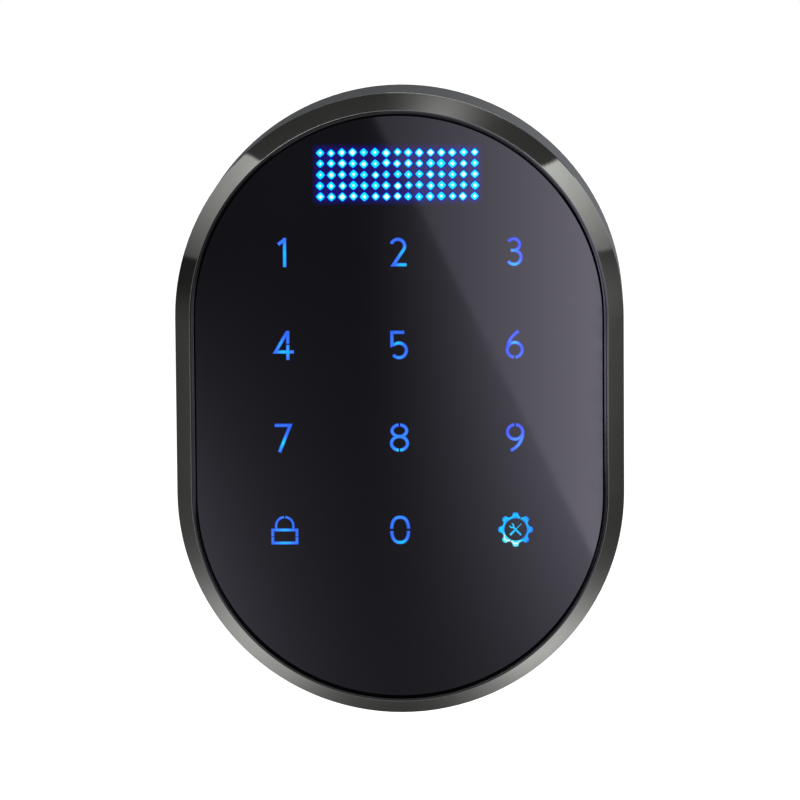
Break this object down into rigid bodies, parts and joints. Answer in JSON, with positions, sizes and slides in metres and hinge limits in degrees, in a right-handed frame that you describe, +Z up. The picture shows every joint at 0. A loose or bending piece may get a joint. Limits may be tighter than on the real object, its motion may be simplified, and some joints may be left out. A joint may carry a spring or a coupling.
{
  "type": "keypad smart lock",
  "caption": "Outside keypad of a smart deadbolt: oval metal case, black glass touch panel with lit numbers and dot display, motor-driven tailpiece.",
  "frame": {"origin": "where the tailpiece's axis meets the door's outside face", "axes": "+X to the right of a person facing the keypad, +Y into the door along the tailpiece, +Z up; the keypad faces -Y"},
  "size_m": [0.08, 0.07, 0.1116],
  "materials": {
    "case_metal": "black nickel plate over zinc die casting",
    "panel_glass": "polished toughened glass, black behind",
    "black_tape": "foam tape",
    "film": "black print on clear film",
    "diffuser": "milky sheet",
    "circuit_board": "green solder mask",
    "white_moulding": "moulded white ABS",
    "black_moulding": "moulded black ABS",
    "chip_black": "epoxy chip package",
    "tin_shield": "tinned steel can",
    "led": "clear lamp package",
    "screw_steel": "zinc-plated steel",
    "hard_steel": "hardened steel plate",
    "brass": "machined brass",
    "acetal": "natural acetal",
    "magnet": "nickel-plated magnet",
    "motor_steel": "drawn steel can",
    "chassis_metal": "black powder coat over die casting",
    "rubber": "black moulded rubber",
    "foam": "closed-cell foam",
    "post_steel": "yellow-passivated steel"
  },
  "bodies": {
    "root": {"escutcheon": "case_metal", "glass_lens": "panel_glass", "lens_adhesive": "black_tape", "legend_film": "film", "diffuser_sheet": "diffuser", "touch_board": "circuit_board", "light_baffle": "white_moulding", "main_board": "circuit_board", "mid_frame": "black_moulding", "matrix_leds": "led", "key_leds": "led", "controller_chip": "chip_black", "radio_module": "tin_shield", "motor_driver_chip": "chip_black", "motor_socket": "white_moulding", "harness_socket": "white_moulding", "buzzer": "chip_black", "board_header": "black_moulding", "touch_controller": "chip_black", "board_screws": "screw_steel", "anti_drill_plate": "hard_steel", "gearbox_cover": "brass", "gearbox_screws": "screw_steel", "gear_axles": "screw_steel", "output_bush": "brass", "motor": "motor_steel", "motor_cushion": "foam", "position_sensor": "chip_black", "back_chassis": "chassis_metal", "housing_seal": "rubber", "case_screws": "screw_steel", "boss_cover": "black_moulding", "boss_cover_screws": "screw_steel", "cable_grommet": "rubber", "mounting_posts": "post_steel", "door_gasket": "foam", "tamper_switch": "black_moulding", "tamper_spring": "screw_steel", "port_receptacle": "tin_shield", "port_housing": "black_moulding", "port_board": "circuit_board", "flap_pin": "screw_steel"},
    "spindle": {"output_gear": "brass", "output_clip": "hard_steel", "tailpiece": "post_steel", "position_magnet": "magnet"},
    "first_reduction": {"first_gear": "acetal"},
    "second_reduction": {"second_gear": "acetal"},
    "rotor": {"motor_shaft": "screw_steel", "motor_pinion": "brass"},
    "plunger": {"tamper_plunger": "white_moulding"},
    "flap": {"port_flap": "rubber"}
  },
  "joints": [
    {"name": "spindle_turn", "type": "hinge", "parent": "root", "child": "spindle", "pos_m": [0, 0, 0], "axis": [0, -1, 0], "range_deg": [0, 90]},
    {"name": "second_turn", "type": "hinge", "parent": "root", "child": "second_reduction", "pos_m": [0.01155, 0, 0.00809], "axis": [0, -1, 0], "range_deg": [-270, 0]},
    {"name": "first_turn", "type": "hinge", "parent": "root", "child": "first_reduction", "pos_m": [0.01226, 0, 0.02217], "axis": [0, -1, 0], "range_deg": [0, 810]},
    {"name": "rotor_turn", "type": "hinge", "parent": "root", "child": "rotor", "pos_m": [0, 0, 0.0152], "axis": [0, -1, 0], "range_deg": [-2430, 0]},
    {"name": "plunger_slide", "type": "slide", "parent": "root", "child": "plunger", "axis": [0, -1, 0], "range_m": [0, 0.0018], "stiffness_N_per_m": 150, "springref_m": -0.0012, "deforming": ["tamper_spring"]},
    {"name": "flap_swing", "type": "hinge", "parent": "root", "child": "flap", "pos_m": [0, -0.005, -0.04645], "axis": [1, 0, 0], "range_deg": [0, 85]}
  ],
  "couplings": [
    {"joint": "second_turn", "follows": "spindle_turn", "ratio": -3},
    {"joint": "first_turn", "follows": "spindle_turn", "ratio": 9},
    {"joint": "rotor_turn", "follows": "spindle_turn", "ratio": -27}
  ]
}
